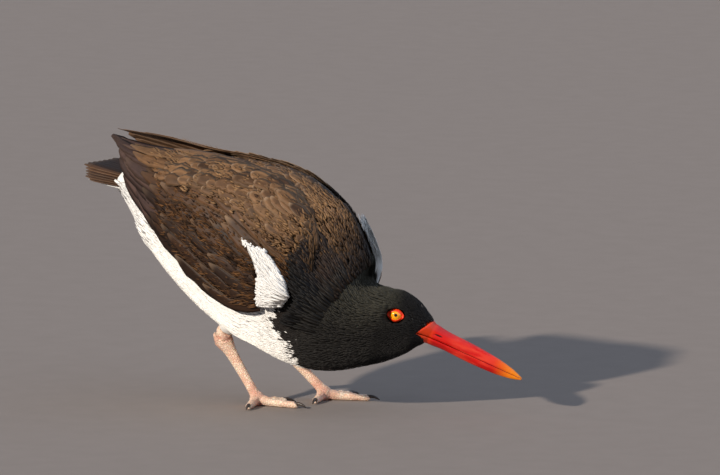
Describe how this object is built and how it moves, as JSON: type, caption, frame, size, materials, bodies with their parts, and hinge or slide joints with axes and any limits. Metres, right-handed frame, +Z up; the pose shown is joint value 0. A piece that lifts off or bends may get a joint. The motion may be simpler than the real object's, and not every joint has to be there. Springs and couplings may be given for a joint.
{
  "type": "american oystercatcher",
  "caption": "Life-size standing wading bird, bowed forward with its long red bill held just above the floor; brown wings, black head and white belly.",
  "frame": {"origin": "bottom centre of the bird's bounding box, on the floor between the feet", "axes": "+X ahead, the way the body faces; +Z up; the bird's left side is +Y"},
  "size_m": [0.3868, 0.1468, 0.226],
  "materials": {
    "plumage_white": "soft white body feathers",
    "plumage_black": "short sooty black feathers with a grey-brown sheen",
    "mantle_feather": "warm brown feathers with paler edges",
    "tail_feather": "dark brown tail feathers",
    "bill_red": "smooth horn, red at the base and orange at the tip",
    "iris": "wet glossy eye, yellow-orange with a black pupil",
    "eye_ring": "bare orange-red skin",
    "leg_skin": "pale pink scaled skin",
    "claw_horn": "dark horn"
  },
  "bodies": {
    "root": {"torso": "plumage_white", "neck": "plumage_black", "head": "plumage_black", "bill_upper": "bill_red", "bill_lower": "bill_red", "eye_right": "iris", "lid_right": "eye_ring", "wing_right": "mantle_feather", "eye_left": "iris", "lid_left": "eye_ring", "wing_left": "mantle_feather", "tail": "tail_feather", "thigh_right": "plumage_white", "tarsus_right": "leg_skin", "foot_right": "leg_skin", "claw_right_inner": "claw_horn", "claw_right_middle": "claw_horn", "claw_right_outer": "claw_horn", "thigh_left": "plumage_white", "tarsus_left": "leg_skin", "foot_left": "leg_skin", "claw_left_inner": "claw_horn", "claw_left_middle": "claw_horn", "claw_left_outer": "claw_horn"}
  },
  "joints": []
}
